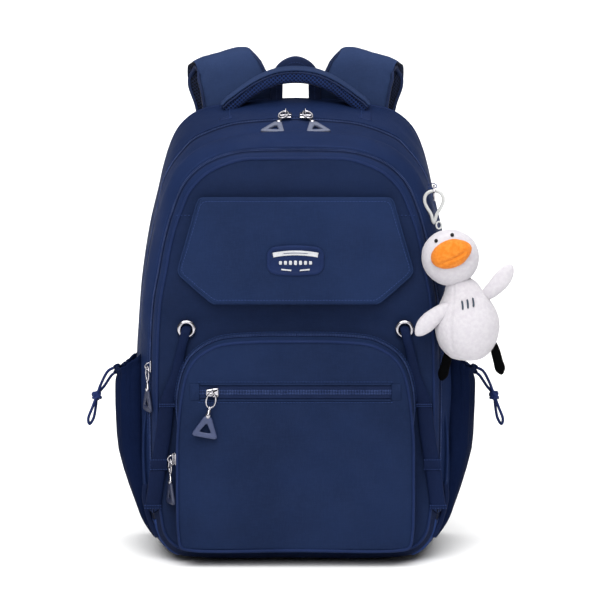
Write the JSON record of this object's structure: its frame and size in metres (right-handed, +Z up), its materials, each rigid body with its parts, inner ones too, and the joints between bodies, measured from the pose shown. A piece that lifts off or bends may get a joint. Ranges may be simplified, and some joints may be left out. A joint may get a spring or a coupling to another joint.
{
  "type": "school backpack",
  "caption": "Soft school backpack with a fold-down front, zipped compartments, flap, side pockets, haul handle, padded shoulder straps and a hanging plush charm.",
  "frame": {"origin": "on the floor under the middle of the base", "axes": "+Z up, the front faces -Y, the shoulder straps are at +Y, +X is on the right seen from the front"},
  "size_m": [0.4318, 0.2505, 0.5009],
  "materials": {
    "body_fabric": "soft woven nylon, slightly brushed",
    "pocket_fabric": "soft woven nylon, gathered",
    "back_fabric": "padded mesh",
    "base_fabric": "heavier woven nylon",
    "lining": "thin plain-weave lining",
    "strap_fabric": "padded nylon with a perforated mesh face",
    "webbing": "woven webbing",
    "cord": "braided round cord",
    "zip_tape": "coil zip on woven tape",
    "chrome": "polished plate",
    "pull_plastic": "soft moulded rubber-like plastic",
    "badge_plastic": "soft moulded rubber-like plastic",
    "buckle_plastic": "moulded acetal",
    "clip_plastic": "glossy moulded plastic",
    "plush_white": "short-pile fleece",
    "plush_orange": "short-pile fleece",
    "plush_black": "short-pile fleece"
  },
  "bodies": {
    "bag": {"back_panel": "back_fabric", "rear_gusset": "body_fabric", "base_panel": "base_fabric", "main_zip_rear": "zip_tape", "divider_lower": "lining", "front_panel_lower": "body_fabric", "front_zip_lower_left": "zip_tape", "front_zip_lower_right": "zip_tape", "lower_pocket": "body_fabric", "pocket_zip": "zip_tape", "slot_zip": "zip_tape", "grommet_left": "chrome", "grommet_right": "chrome", "side_band_left": "webbing", "side_band_right": "webbing", "side_pocket_left": "pocket_fabric", "side_pocket_right": "pocket_fabric", "drawcord_left": "cord", "drawcord_right": "cord", "drawcord_knot_left": "cord", "drawcord_knot_right": "cord", "handle_foot_left": "strap_fabric", "handle_foot_right": "strap_fabric", "hang_loop": "webbing", "strap_top_left": "strap_fabric", "strap_top_right": "strap_fabric", "lower_webbing_left": "webbing", "lower_webbing_right": "webbing", "back_pad_left": "back_fabric", "back_pad_right": "back_fabric"},
    "front_top": {"mid_gusset_upper": "body_fabric", "divider_upper": "lining", "front_panel_upper": "body_fabric", "front_gusset_upper": "body_fabric", "main_zip_front": "zip_tape", "front_zip_upper": "zip_tape"},
    "flap": {"front_flap": "body_fabric", "badge": "badge_plastic"},
    "slot_slider": {"slot_slider": "chrome"},
    "slot_pull": {"slot_pull": "pull_plastic"},
    "pocket_slider": {"pocket_slider": "chrome"},
    "pocket_pull": {"pocket_pull": "pull_plastic"},
    "front_slider": {"front_slider": "chrome"},
    "front_pull": {"front_pull": "pull_plastic"},
    "main_left_slider": {"main_left_slider": "chrome"},
    "main_left_pull": {"main_left_pull": "pull_plastic"},
    "main_right_slider": {"main_right_slider": "chrome"},
    "main_right_pull": {"main_right_pull": "pull_plastic"},
    "haul_handle": {"haul_handle": "strap_fabric"},
    "strap_left": {"strap_pad_left": "strap_fabric", "ladder_lock_left": "buckle_plastic"},
    "strap_right": {"strap_pad_right": "strap_fabric", "ladder_lock_right": "buckle_plastic"},
    "charm_hanger": {"charm_hanger": "chrome"},
    "charm": {"charm_head": "plush_white", "charm_beak": "plush_orange", "charm_body": "plush_white", "charm_leg_left": "plush_black", "charm_leg_right": "plush_black", "charm_clip": "clip_plastic"}
  },
  "joints": [
    {"name": "front_top_fold", "type": "hinge", "parent": "bag", "child": "front_top", "pos_m": [0, -0.084, 0.25], "axis": [1, 0, 0], "range_deg": [0, 35]},
    {"name": "flap_lift", "type": "hinge", "parent": "front_top", "child": "flap", "pos_m": [0, -0.087, 0.371], "axis": [-1, 0, 0], "range_deg": [0, 110]},
    {"name": "main_left_slider_travel", "type": "hinge", "parent": "front_top", "child": "main_left_slider", "pos_m": [0, 0.005, 0.04664], "axis": [0, -1, 0], "range_deg": [0, 9]},
    {"name": "main_right_slider_travel", "type": "hinge", "parent": "front_top", "child": "main_right_slider", "pos_m": [0, 0.005, 0.04664], "axis": [0, 1, 0], "range_deg": [0, 9]},
    {"name": "front_slider_travel", "type": "slide", "parent": "bag", "child": "front_slider", "axis": [0, 0, 1], "range_m": [0, 0.042]},
    {"name": "pocket_slider_travel", "type": "slide", "parent": "bag", "child": "pocket_slider", "axis": [0, 0, 1], "range_m": [-0.01, 0.02]},
    {"name": "slot_slider_travel", "type": "slide", "parent": "bag", "child": "slot_slider", "axis": [1, 0, 0], "range_m": [0, 0.165]},
    {"name": "main_left_pull_swing", "type": "hinge", "parent": "main_left_slider", "child": "main_left_pull", "pos_m": [-0.01, 0.00367, 0.4459], "axis": [0.946, -0.324, 0], "range_deg": [-95, 0]},
    {"name": "main_right_pull_swing", "type": "hinge", "parent": "main_right_slider", "child": "main_right_pull", "pos_m": [0.01, 0.00367, 0.4459], "axis": [0.946, 0.324, 0], "range_deg": [-95, 0]},
    {"name": "front_pull_swing", "type": "hinge", "parent": "front_slider", "child": "front_pull", "pos_m": [-0.1484, -0.0716, 0.198], "axis": [0.3153, -0.949, 0], "range_deg": [-75, 0]},
    {"name": "pocket_pull_swing", "type": "hinge", "parent": "pocket_slider", "child": "pocket_pull", "pos_m": [-0.1255, -0.0954, 0.108], "axis": [0.2675, -0.9636, 0], "range_deg": [-75, 0]},
    {"name": "slot_pull_swing", "type": "hinge", "parent": "slot_slider", "child": "slot_pull", "pos_m": [-0.083, -0.1153, 0.178], "axis": [1, 0, 0], "range_deg": [-75, 0]},
    {"name": "haul_handle_tilt", "type": "hinge", "parent": "bag", "child": "haul_handle", "pos_m": [0, 0.066, 0.459], "axis": [1, 0, 0], "range_deg": [0, 25], "stiffness_Nm_per_rad": 0.15},
    {"name": "strap_left_swing", "type": "hinge", "parent": "bag", "child": "strap_left", "pos_m": [0, 0.112, 0.47], "axis": [1, 0, 0], "range_deg": [0, 30]},
    {"name": "strap_right_swing", "type": "hinge", "parent": "bag", "child": "strap_right", "pos_m": [0, 0.112, 0.47], "axis": [1, 0, 0], "range_deg": [0, 30]},
    {"name": "charm_hanger_level", "type": "hinge", "parent": "front_top", "child": "charm_hanger", "pos_m": [0.1335, -0.052, 0.376], "axis": [1, 0, 0], "range_deg": [-35, 0]},
    {"name": "charm_swing", "type": "hinge", "parent": "charm_hanger", "child": "charm", "pos_m": [0.1385, -0.06, 0.371], "axis": [1, 0, 0], "range_deg": [-70, 0]}
  ],
  "couplings": [
    {"joint": "charm_hanger_level", "follows": "front_top_fold", "ratio": -1}
  ]
}
